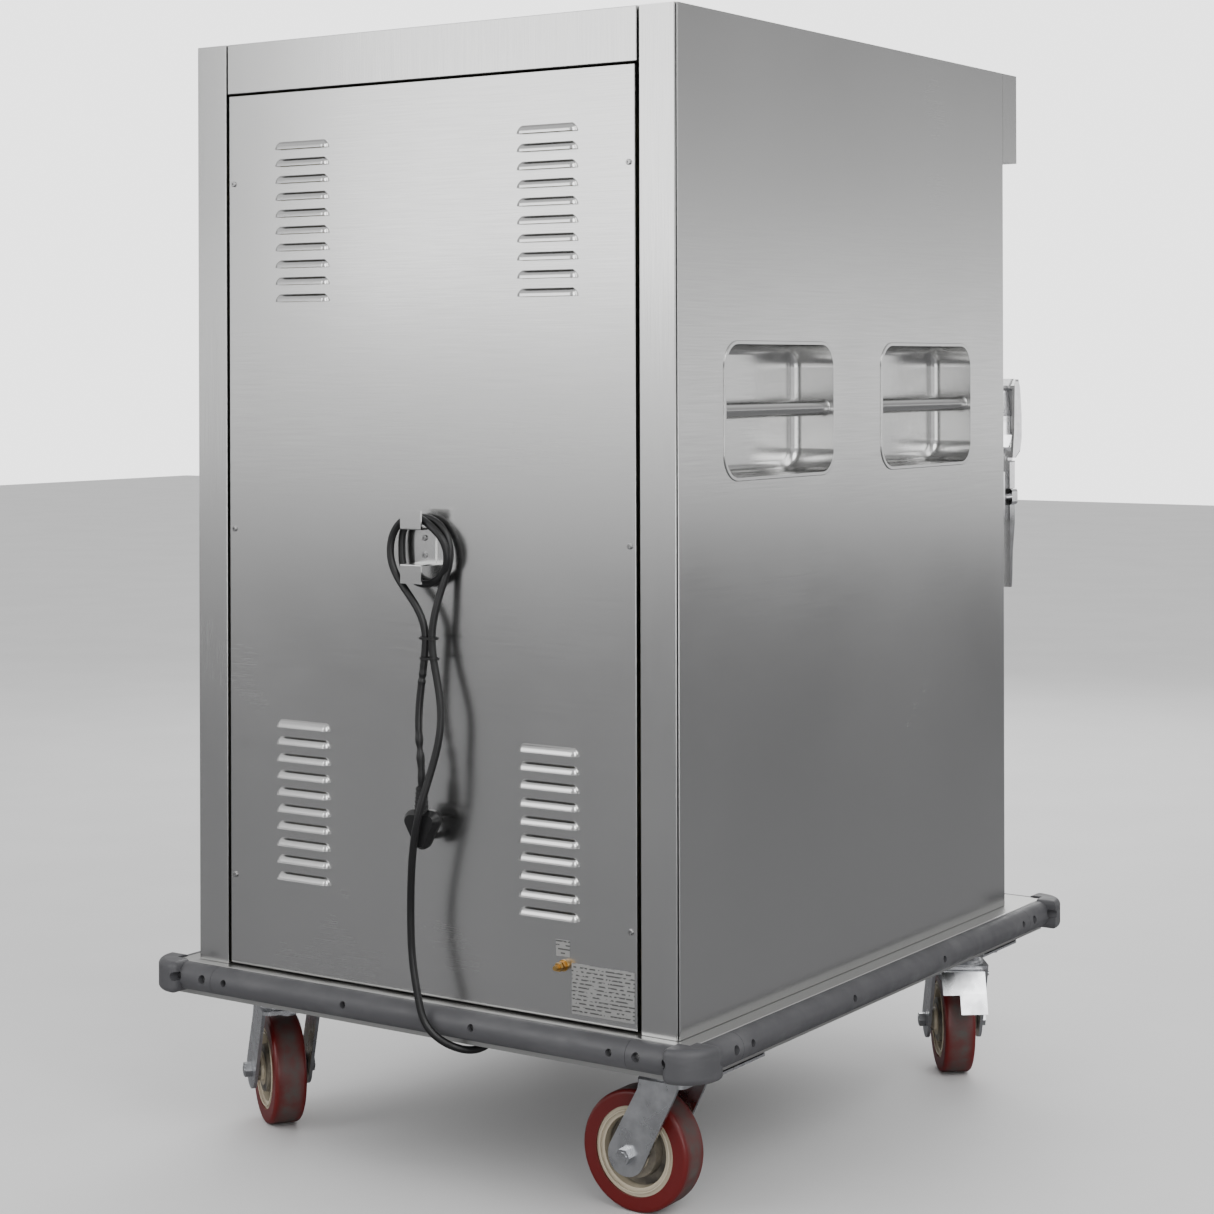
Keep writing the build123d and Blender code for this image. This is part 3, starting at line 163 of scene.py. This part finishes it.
def tread_rubber(name, centre, axle):
    """Dark red tread, greyed by use where it meets the floor."""
    red = (0.115, 0.007, 0.007)
    s = Surface(name, red, 0.0, 0.34)
    offset = s.add("ShaderNodeVectorMath", operation="SUBTRACT")
    s.link(s.coords, offset.inputs[0])
    offset.inputs[1].default_value = centre
    along = s.add("ShaderNodeVectorMath", operation="DOT_PRODUCT")
    s.link(offset.outputs["Vector"], along.inputs[0])
    along.inputs[1].default_value = axle
    radius = s.add("ShaderNodeVectorMath", operation="LENGTH")
    s.link(offset.outputs["Vector"], radius.inputs[0])
    side = s.math("ABSOLUTE", along.outputs["Value"], 0)
    band = s.remap(side, 1, 0, 0.008, 0.019)
    outer = s.remap(radius.outputs["Value"], 0, 1, 0.068, 0.0735)
    worn = s.math("MULTIPLY", s.math("MULTIPLY", band, outer), s.remap(s.noise(60), 0.45, 1))
    s.tint(worn, red, (0.075, 0.062, 0.056))
    s.rough(s.math("ADD", s.math("MULTIPLY", worn, 0.35), 0.32))
    return s.bump(s.noise(180), 0.00015, 0.4)


def rim_plastic(name, centre, axle):
    """Beige rim, with painted shade darkening the recess between rim and hub."""
    s = Surface(name, (0.50, 0.44, 0.33), 0.0, 0.48)
    offset = s.add("ShaderNodeVectorMath", operation="SUBTRACT")
    s.link(s.coords, offset.inputs[0])
    offset.inputs[1].default_value = centre
    radius = s.add("ShaderNodeVectorMath", operation="LENGTH")
    s.link(offset.outputs["Vector"], radius.inputs[0])
    inner = s.remap(radius.outputs["Value"], 0, 1, 0.0325, 0.0335)
    outer = s.remap(radius.outputs["Value"], 1, 0, 0.0435, 0.0450)
    # painted shade: the recess between rim and hub is darkened in the colour, broken up by noise
    recess_shade = s.math("MULTIPLY", s.math("MULTIPLY", inner, outer), s.remap(s.noise(50), 0.7, 1))
    s.tint(recess_shade, (0.50, 0.44, 0.33), (0.07, 0.062, 0.052))
    s.rough(s.remap(s.noise(30), 0.40, 0.56))
    return s.bump(s.noise(260), 0.00012, 0.5)


def label_film():
    """Silver film with rows of faint unreadable print."""
    s = Surface("label_film", (0.27, 0.27, 0.265), 0.25, 0.42)
    split = s.add("ShaderNodeSeparateXYZ")
    s.link(s.coords, split.inputs[0])
    row = s.math("FRACT", s.math("MULTIPLY", split.outputs["Z"], 210.0), 0)
    line = s.math("GREATER_THAN", row, 0.62)
    word = s.math("GREATER_THAN", s.noise(60, (3.2, 1, 3.4), 2), 0.47)
    s.tint(s.math("MULTIPLY", line, word), (0.27, 0.27, 0.265), (0.07, 0.07, 0.07))
    return s.bump(s.noise(120), 0.00002, 0.3)


def wool():
    s = Surface("mineral_wool", (0.62, 0.52, 0.24), 0.0, 0.95)
    s.tint(s.remap(s.noise(60), 0, 1), (0.66, 0.56, 0.28), (0.42, 0.33, 0.14))
    return s.bump(s.noise(180, (1, 1, 6)), 0.0012, 0.9)


def clear_glass():
    s = Surface("dial_glass", (1, 1, 1), 0.0, 0.04)
    s.bsdf.inputs["Transmission Weight"].default_value = 1.0
    return s.bump(s.noise(4), 0.00001, 0.1)


MATERIALS = {
    "stainless": brushed("stainless", (0.60, 0.60, 0.595), (0.02, 0.02, 3.0)),
    "painted_deck": brushed("painted_deck", (0.50, 0.50, 0.49), (0.02, 0.02, 3.0), 0.34),
    "bumper": bumper_rubber(),
    "screw_steel": plain_metal("screw_steel", (0.42, 0.42, 0.42), 0.26),
    "mineral_wool": wool(),
    "motor_black": moulded("motor_black", (0.02, 0.02, 0.022), 0.45),
    "alloy": plain_metal("alloy", (0.72, 0.72, 0.73), 0.38),
    "heater_tube": plain_metal("heater_tube", (0.16, 0.15, 0.14), 0.5),
    "brass_bright": plain_metal("brass_bright", (0.60, 0.38, 0.13), 0.3),
    "bright_chrome": plain_metal("bright_chrome", (0.80, 0.80, 0.81), 0.10, 0.03, 0.00001),
    "lamp_red": moulded("lamp_red", (0.45, 0.015, 0.01), 0.18, bump=0.00003),
    "black_plastic": moulded("black_plastic", (0.015, 0.015, 0.016), 0.42),
    "rocker_green": moulded("rocker_green", (0.02, 0.22, 0.05), 0.25, bump=0.00003),
    "cord_black": moulded("cord_black", (0.006, 0.006, 0.0065), 0.42, 0.7, 0.0001, 420),
    "label_film": label_film(),
    "gasket_black": moulded("gasket_black", (0.015, 0.015, 0.015), 0.6),
    "zinc": plain_metal("zinc", (0.66, 0.67, 0.69), 0.30, 0.08, 0.00006),
    "rim_beige": moulded("rim_beige", (0.50, 0.44, 0.33), 0.48, 0.86),
}
DIAL_WHITE = moulded("dial_white", (0.72, 0.72, 0.70), 0.5, 0.97, 0.00002).mat
DIAL_GLASS = clear_glass().mat


def wheel_frame(name):
    """The wheel's centre and axle direction, read off its joint."""
    joint = next(j for j in frame["record"]["behaviour"]["joints"] if j["name"] == f"roll_{name}")
    return tuple(joint["pos_m"]), tuple(joint["axis"])


CASTERS = ("rear_left", "rear_right", "front_left", "front_right")
VERTICAL_GRAIN = brushed("stainless_vertical", (0.60, 0.60, 0.595), (3.0, 3.0, 0.02))
for node, piece in NODES.items():
    slot = SLOTS[node]
    if slot == "tread_red":
        caster = node.replace("wheel_tread_", "")
        material = tread_rubber(f"tread_{caster}", *wheel_frame(caster)).mat
    elif slot == "rim_beige":
        caster = node.replace("wheel_core_", "")
        material = rim_plastic(f"rim_{caster}", *wheel_frame(caster)).mat
    elif node in ("rear_posts", "rear_top_rail"):
        material = VERTICAL_GRAIN.mat
    else:
        material = MATERIALS[slot].mat
    piece.data.materials.clear()
    piece.data.materials.append(material)


# --- Added detail ---

def keep(piece, name, body, slot, material=None):
    """Names a new piece, gives it its finish and the body it moves with."""
    piece.name = name
    piece.data.name = name
    piece.data.materials.clear()
    piece.data.materials.append(material or MATERIALS[slot].mat)
    for polygon in piece.data.polygons:
        polygon.use_smooth = len(polygon.vertices) == 4
    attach(piece, body)
    return piece


def join(pieces):
    """Merges several new objects into one."""
    bpy.ops.object.select_all(action="DESELECT")
    for piece in pieces:
        piece.select_set(True)
    bpy.context.view_layer.objects.active = pieces[0]
    bpy.ops.object.join()
    return bpy.context.view_layer.objects.active


def bake(piece):
    """Moves the object's placement into its vertices."""
    piece.data.transform(piece.matrix_world)
    piece.matrix_world = Matrix.Identity(4)
    return piece


def aim(axis):
    return Vector((0, 0, 1)).rotation_difference(Vector(axis)).to_matrix().to_4x4()


def disc(centre, axis, radius, depth, sides=48):
    bpy.ops.mesh.primitive_cylinder_add(vertices=sides, radius=radius, depth=depth)
    piece = bpy.context.object
    piece.matrix_world = Matrix.Translation(centre) @ aim(axis)
    return bake(piece)


def ring(centre, axis, radius, thick, turn=48):
    bpy.ops.mesh.primitive_torus_add(
        major_radius=radius, minor_radius=thick, major_segments=turn, minor_segments=12
    )
    piece = bpy.context.object
    piece.matrix_world = Matrix.Translation(centre) @ aim(axis)
    return bake(piece)


def block(centre, size, turn=None):
    bpy.ops.mesh.primitive_cube_add(size=1)
    piece = bpy.context.object
    scale = Matrix.Diagonal((*size, 1))
    piece.matrix_world = Matrix.Translation(centre) @ (turn or Matrix.Identity(4)) @ scale
    return bake(piece)


def wheel_details(name):
    """Bearing shield rings and webs inside the rim, on both sides."""
    centre, axle = (Vector(v) for v in wheel_frame(name))
    shields = []
    webs = []
    for side in (-1, 1):
        shields.append(ring(centre + axle * side * 0.0335, axle, 0.0125, 0.0012))
        webs.append(ring(centre + axle * side * 0.0215, axle, 0.050, 0.0011, 72))
    keep(join(shields), f"bearing_rings_{name}", f"wheel_{name}", "zinc")
    keep(join(webs), f"rim_beads_{name}", f"wheel_{name}", "rim_beige")


def swivel_seal(name):
    joint = next(j for j in frame["record"]["behaviour"]["joints"] if j["name"] == f"swivel_{name}")
    x, y, _ = joint["pos_m"]
    seal = ring((x, y, 0.1725), (0, 0, 1), 0.0345, 0.0014)
    keep(seal, f"race_bead_{name}", f"fork_{name}", "zinc")


def dial():
    """Thermometer face with ticks, a needle and its glass."""
    low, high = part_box("thermometer")
    x, z = (low[0] + high[0]) / 2, (low[2] + high[2]) / 2
    y = low[1]
    keep(disc((x, y + 0.0027, z), (0, 1, 0), 0.0262, 0.0004), "dial_face", "cabinet", "label_film", DIAL_WHITE)
    marks = []
    for step in range(25):
        angle = math.radians(-135 + step * 11.25)
        long = 0.0045 if step % 4 == 0 else 0.0025
        radius = 0.0235 - long / 2
        centre = (x + radius * math.sin(angle), y + 0.0024, z + radius * math.cos(angle))
        marks.append(block(centre, (0.0006, 0.0003, long), Matrix.Rotation(angle, 4, "Y")))
    turn = Matrix.Rotation(math.radians(-100), 4, "Y")
    tip = turn @ Vector((0, 0, 0.009))
    marks.append(block((x + tip.x, y + 0.0021, z + tip.z), (0.0011, 0.0003, 0.024), turn))
    marks.append(disc((x, y + 0.0020, z), (0, 1, 0), 0.0024, 0.0006, 24))
    keep(join(marks), "dial_marks", "cabinet", "black_plastic")
    keep(disc((x, y + 0.0012, z), (0, 1, 0), 0.0262, 0.0008), "dial_glass", "cabinet", "bright_chrome", DIAL_GLASS)


def knob_marks():
    """Scale ticks around the thermostat knob, and the white line on its rib."""
    low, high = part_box("thermostat_knob")
    header_low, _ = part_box("header_housing")
    x, z = (low[0] + high[0]) / 2, (low[2] + high[2]) / 2
    ticks = []
    for step in range(10):
        angle = math.radians(step * 30)
        centre = (x + 0.0275 * math.sin(angle), header_low[1] - 0.0002, z + 0.0275 * math.cos(angle))
        ticks.append(block(centre, (0.0009, 0.0003, 0.0045), Matrix.Rotation(angle, 4, "Y")))
    keep(join(ticks), "knob_scale", "cabinet", "black_plastic")
    line = block((x, low[1] - 0.0001, z + 0.008), (0.0011, 0.0004, 0.018))
    keep(line, "knob_line", "thermostat_knob", "label_film", DIAL_WHITE)


def plug_ribs():
    """Moulded ribs on the plug's strain relief."""
    x, y = -0.0243, 0.4780 + SHIFT
    ribs = [ring((x, y, 0.487 + k * 0.0052), (0, 0, 1), 0.0087 - k * 0.0004, 0.0009, 32) for k in range(6)]
    keep(join(ribs), "plug_ribs", "cabinet", "cord_black")


def bar_welds():
    """Weld beads where each grab bar meets its recess."""
    beads = []
    for side in (-1, 1):
        for middle in (0.204 + SHIFT, -0.199 + SHIFT):
            for end in (-1, 1):
                y = middle + end * (0.1345 - 0.0016)
                beads.append(ring((side * 0.364, y, 0.9795), (0, 1, 0), 0.0103, 0.0013, 32))
    keep(join(beads), "bar_welds", "cabinet", "stainless")


for caster in CASTERS:
    wheel_details(caster)
    swivel_seal(caster)
dial()
knob_marks()
plug_ribs()
bar_welds()


# --- Studio ---

def studio_world():
    """White to the camera; reflections see a bright band at eye level, darker above and below."""
    world = bpy.data.worlds.new("studio")
    bpy.context.scene.world = world
    world.use_nodes = True
    tree = world.node_tree
    tree.nodes.clear()
    out = tree.nodes.new("ShaderNodeOutputWorld")
    coords = tree.nodes.new("ShaderNodeTexCoord")
    split = tree.nodes.new("ShaderNodeSeparateXYZ")
    ramp = tree.nodes.new("ShaderNodeValToRGB")
    lift = tree.nodes.new("ShaderNodeMapRange")
    lift.inputs["From Min"].default_value = -0.5
    lift.inputs["From Max"].default_value = 0.5
    stops = (
        (0.0, 0.30), (0.30, 0.24), (0.40, 0.55), (0.455, 1.7), (0.50, 1.6), (0.57, 0.62), (0.66, 0.34), (1.0, 0.85),
    )
    elements = ramp.color_ramp.elements
    while len(elements) < len(stops):
        elements.new(0.5)
    for element, (place, value) in zip(elements, stops):
        element.position = place
        element.color = (value, value, value * 1.005, 1)
    seen = tree.nodes.new("ShaderNodeBackground")
    seen.inputs["Color"].default_value = (1, 1, 1, 1)
    mirrored = tree.nodes.new("ShaderNodeBackground")
    path = tree.nodes.new("ShaderNodeLightPath")
    mix = tree.nodes.new("ShaderNodeMixShader")
    lit = tree.nodes.new("ShaderNodeMath")
    lit.operation = "MULTIPLY_ADD"
    lit.inputs[1].default_value = 1.9
    lit.inputs[2].default_value = 0.9
    link = tree.links.new
    link(path.outputs["Is Camera Ray"], lit.inputs[0])
    link(lit.outputs["Value"], seen.inputs["Strength"])
    link(coords.outputs["Generated"], split.inputs[0])
    link(split.outputs["Z"], lift.inputs["Value"])
    link(lift.outputs["Result"], ramp.inputs["Fac"])
    link(ramp.outputs["Color"], mirrored.inputs["Color"])
    link(path.outputs["Is Glossy Ray"], mix.inputs[0])
    link(seen.outputs[0], mix.inputs[1])
    link(mirrored.outputs[0], mix.inputs[2])
    link(mix.outputs[0], out.inputs["Surface"])


def studio_floor():
    bpy.ops.mesh.primitive_plane_add(size=30, location=(0, 0, 0))
    floor = bpy.context.object
    floor.name = "studio_floor"
    pale = Surface("studio_floor", (0.80, 0.80, 0.80), 0.0, 0.6)
    pale.tint(pale.remap(pale.noise(3), 0, 1), (0.82, 0.82, 0.82), (0.79, 0.79, 0.79))
    pale.bump(pale.noise(90), 0.0002, 0.1)
    dark = pale.add("ShaderNodeBsdfDiffuse")
    dark.inputs["Color"].default_value = (0.20, 0.20, 0.205, 1)
    path = pale.add("ShaderNodeLightPath")
    mix = pale.add("ShaderNodeMixShader")
    pale.link(path.outputs["Is Glossy Ray"], mix.inputs[0])
    pale.link(pale.bsdf.outputs[0], mix.inputs[1])
    pale.link(dark.outputs[0], mix.inputs[2])
    pale.link(mix.outputs[0], pale.tree.nodes["Material Output"].inputs["Surface"])
    floor.data.materials.append(pale.mat)


def soft_light(name, place, target, size, power):
    data = bpy.data.lights.new(name, "AREA")
    data.shape = "RECTANGLE"
    data.size, data.size_y = size
    data.energy = power
    light = bpy.data.objects.new(name, data)
    bpy.context.scene.collection.objects.link(light)
    light.location = place
    light.rotation_euler = (Vector(target) - Vector(place)).to_track_quat("-Z", "Y").to_euler()


def camera():
    """Level lens shifted down, looking at the rear left corner."""
    data = bpy.data.cameras.new("camera")
    data.lens = 74.96
    data.sensor_width = 36.0
    data.shift_y = -0.1977
    data.clip_end = 60
    view = bpy.data.objects.new("camera", data)
    bpy.context.scene.collection.objects.link(view)
    turn = Matrix.Rotation(math.radians(213.893), 4, "Z") @ Matrix.Rotation(math.radians(90), 4, "X")
    roll = Matrix.Rotation(math.radians(-0.152), 4, "Z")
    view.matrix_world = Matrix.Translation((-1.9564, 2.9408 + SHIFT, 1.0331)) @ turn @ roll
    bpy.context.scene.camera = view


studio_world()
studio_floor()
soft_light("key", (-3.2, 2.2, 3.4), (-0.2, 0.2, 0.8), (2.4, 2.4), 95)
soft_light("fill", (1.8, 3.8, 2.4), (0, 0.3, 0.7), (2.0, 2.6), 45)
soft_light("low", (-2.6, 3.0, 0.5), (-0.2, 0.2, 0.2), (2.2, 0.8), 18)
soft_light("front", (1.5, -3.6, 2.6), (0, -0.4, 0.8), (2.6, 2.2), 70)
camera()
